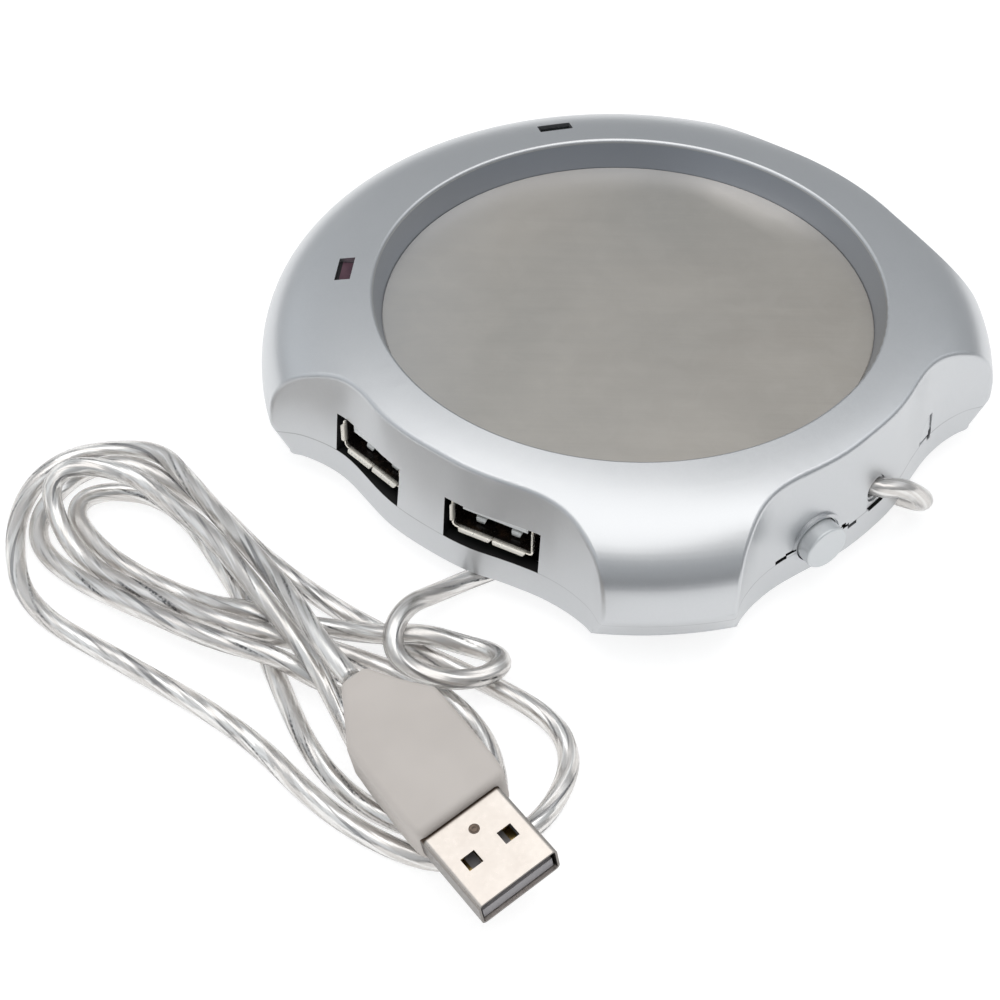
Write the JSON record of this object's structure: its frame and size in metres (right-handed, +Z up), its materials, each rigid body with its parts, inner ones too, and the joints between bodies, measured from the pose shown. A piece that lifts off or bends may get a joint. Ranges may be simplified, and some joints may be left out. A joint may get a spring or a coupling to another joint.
{
  "type": "electric mug warmer",
  "caption": "Mug warmer with a steel heating plate in a round silver plastic housing, side sockets for small devices, a push button, and a clear braided cord with a flat plug.",
  "frame": {"origin": "on the axis of the round mug well, at the level of the feet's lower faces", "axes": "+Z up, square to the heating plate; -Y points to the recess that holds the button and the cord outlet; -X points to the side with two sockets that faces the cord's loops"},
  "size_m": [0.1451, 0.111, 0.0228],
  "materials": {
    "black_plastic": "moulded",
    "black_window": "polished, black",
    "capacitor_can": "bare can",
    "circuit_board": "solder mask",
    "clear_cord": "clear jacket over a tinned braid",
    "contact_gold": "gold flashed",
    "foot_rubber": "matte",
    "heater_rubber": "silicone sheet",
    "insulation_felt": "felt",
    "led_epoxy": "tinted epoxy",
    "plate_steel": "brushed stainless",
    "plug_chrome": "nickel plated",
    "plug_grey": "moulded, warm grey",
    "red_window": "polished, dark red",
    "screw_steel": "zinc plated",
    "silver_plastic": "satin silver lacquer over moulded plastic",
    "socket_nickel": "nickel plated",
    "tongue_plastic": "moulded, pale grey",
    "white_plastic": "moulded",
    "wire_insulation": "smooth"
  },
  "bodies": {
    "housing": {"base_cover": "silver_plastic", "board_screws": "screw_steel", "capacitors": "capacitor_can", "case_screws": "screw_steel", "clock_crystal": "socket_nickel", "cord_grip": "black_plastic", "cord_wires": "wire_insulation", "dc_jack_body": "black_plastic", "heat_indicator_led": "led_epoxy", "heat_indicator_window": "red_window", "heater_element": "heater_rubber", "heater_leads": "wire_insulation", "heating_plate": "plate_steel", "hub_circuit_board": "circuit_board", "hub_controller_chip": "black_plastic", "hub_indicator_led": "led_epoxy", "hub_indicator_window": "black_window", "insulation_pad": "insulation_felt", "plate_retaining_ring": "black_plastic", "plug_contacts": "contact_gold", "plug_insulator": "white_plastic", "plug_overmold": "plug_grey", "plug_shell": "plug_chrome", "power_switch_body": "black_plastic", "retaining_ring_screws": "screw_steel", "rubber_feet": "foot_rubber", "switch_spring": "screw_steel", "thermal_fuse": "screw_steel", "top_cover": "silver_plastic", "usb_cord": "clear_cord", "usb_socket_contacts_1": "contact_gold", "usb_socket_contacts_2": "contact_gold", "usb_socket_contacts_3": "contact_gold", "usb_socket_contacts_4": "contact_gold", "usb_socket_insulator_1": "tongue_plastic", "usb_socket_insulator_2": "tongue_plastic", "usb_socket_insulator_3": "tongue_plastic", "usb_socket_insulator_4": "tongue_plastic", "usb_socket_shell_1": "socket_nickel", "usb_socket_shell_2": "socket_nickel", "usb_socket_shell_3": "socket_nickel", "usb_socket_shell_4": "socket_nickel"},
    "button": {"power_button": "silver_plastic", "switch_plunger": "white_plastic"}
  },
  "joints": [
    {"name": "button_press", "type": "slide", "parent": "housing", "child": "button", "axis": [0.3107, 0.9505, 0], "range_m": [0, 0.0016], "stiffness_N_per_m": 300, "springref_m": -0.0015, "deforming": ["switch_spring"]}
  ]
}
